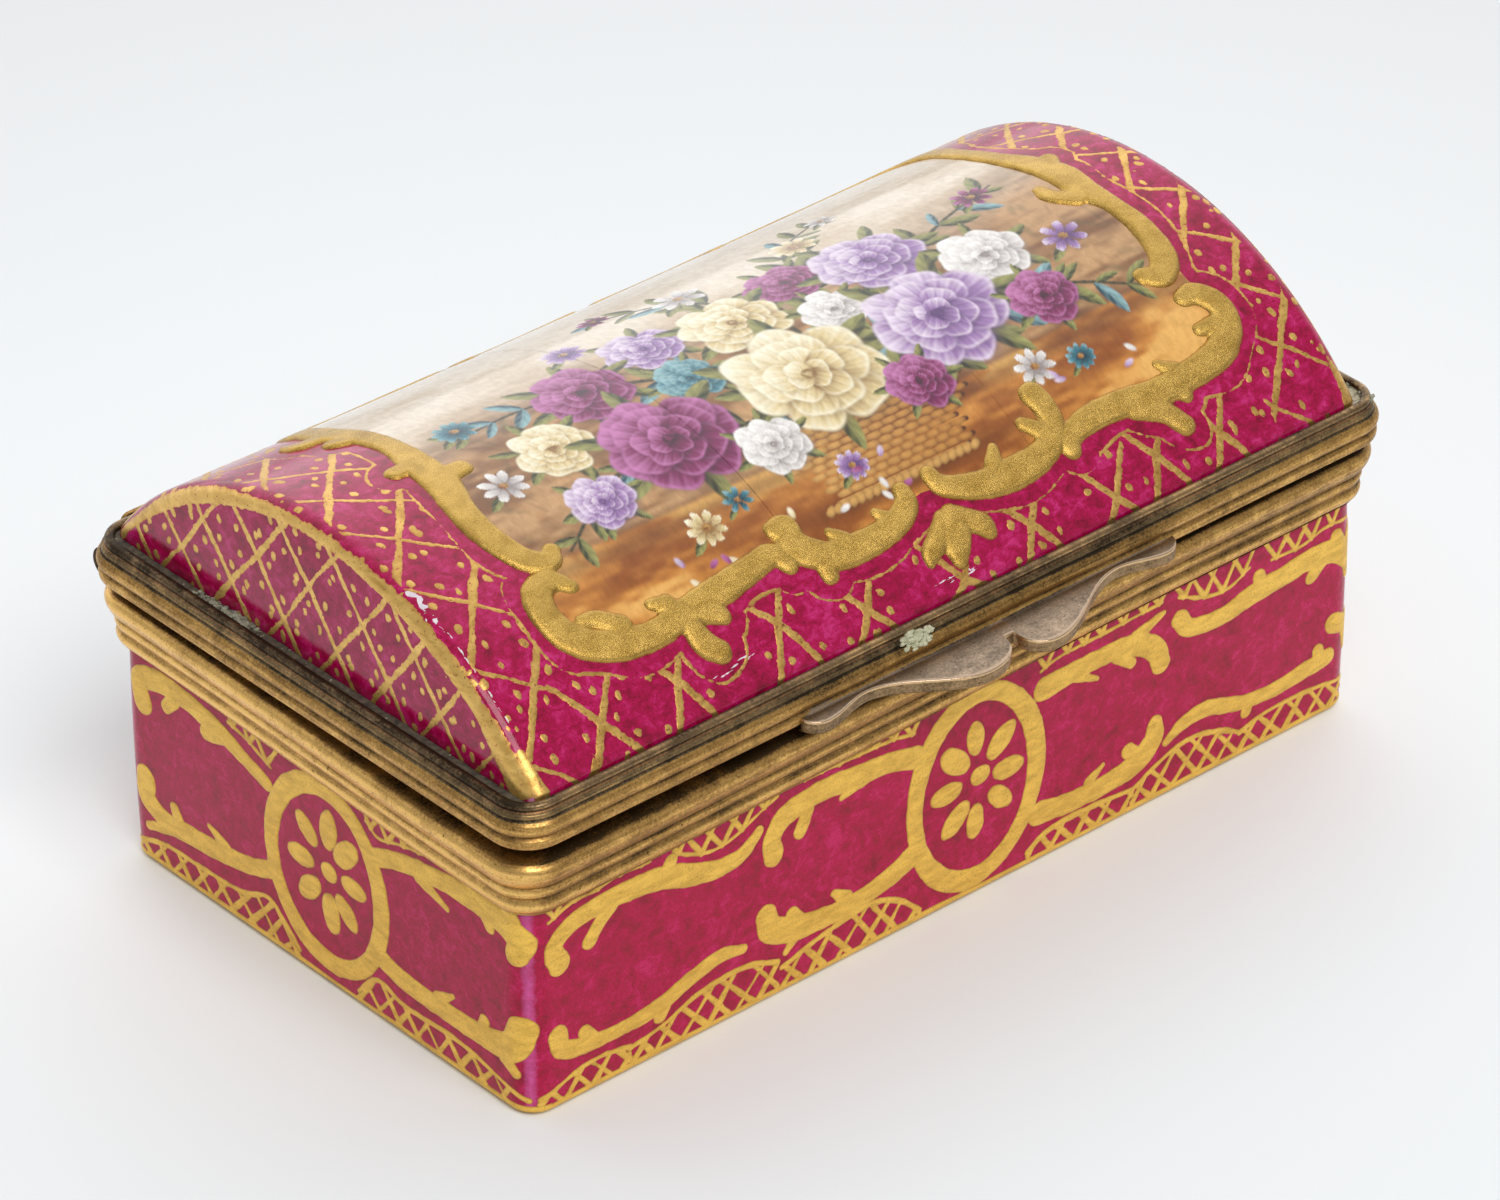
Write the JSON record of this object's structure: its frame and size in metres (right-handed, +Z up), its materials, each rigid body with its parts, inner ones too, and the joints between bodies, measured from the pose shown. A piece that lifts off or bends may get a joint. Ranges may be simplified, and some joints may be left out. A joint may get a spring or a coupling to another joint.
{
  "type": "hinged porcelain box",
  "caption": "Oblong porcelain box with a barrel-topped lid, moulded gilt-brass rims, a thumbpiece and a full-length hinge at the back.",
  "frame": {"origin": "centre of the flat underside, on the surface the box stands on", "axes": "+X along the long side, to the right as the thumbpiece is faced; -Y out of the thumbpiece side, +Y out of the hinge side; +Z up"},
  "size_m": [0.1, 0.0655, 0.0459],
  "materials": {
    "base_porcelain": "glossy claret glaze with painted gold, white inside",
    "lid_porcelain": "glossy claret glaze with raised gold and a painted reserve, white inside",
    "gilt_brass": "worn gilding over brass, dark in the grooves",
    "pin_brass": "plain drawn wire, dull",
    "thumb_bronze": "smooth grey-brown patina",
    "cement": "matt cream setting cement"
  },
  "bodies": {
    "base": {"base_body": "base_porcelain", "base_cement": "cement", "base_rim": "gilt_brass", "base_bezel": "gilt_brass", "hinge_leaf_base": "gilt_brass", "hinge_pin": "pin_brass", "hinge_knuckle_base_1": "gilt_brass", "hinge_knuckle_base_2": "gilt_brass", "hinge_knuckle_base_3": "gilt_brass", "hinge_knuckle_base_4": "gilt_brass", "hinge_knuckle_base_5": "gilt_brass"},
    "lid": {"lid_body": "lid_porcelain", "lid_cement": "cement", "lid_rim": "gilt_brass", "lid_shelf": "gilt_brass", "hinge_leaf_lid": "gilt_brass", "thumbpiece": "thumb_bronze", "hinge_knuckle_lid_1": "gilt_brass", "hinge_knuckle_lid_2": "gilt_brass", "hinge_knuckle_lid_3": "gilt_brass", "hinge_knuckle_lid_4": "gilt_brass"}
  },
  "joints": [
    {"name": "lid_hinge", "type": "hinge", "parent": "base", "child": "lid", "pos_m": [0, 0.03, 0.02775], "axis": [-1, 0, 0], "range_deg": [0, 100]}
  ]
}
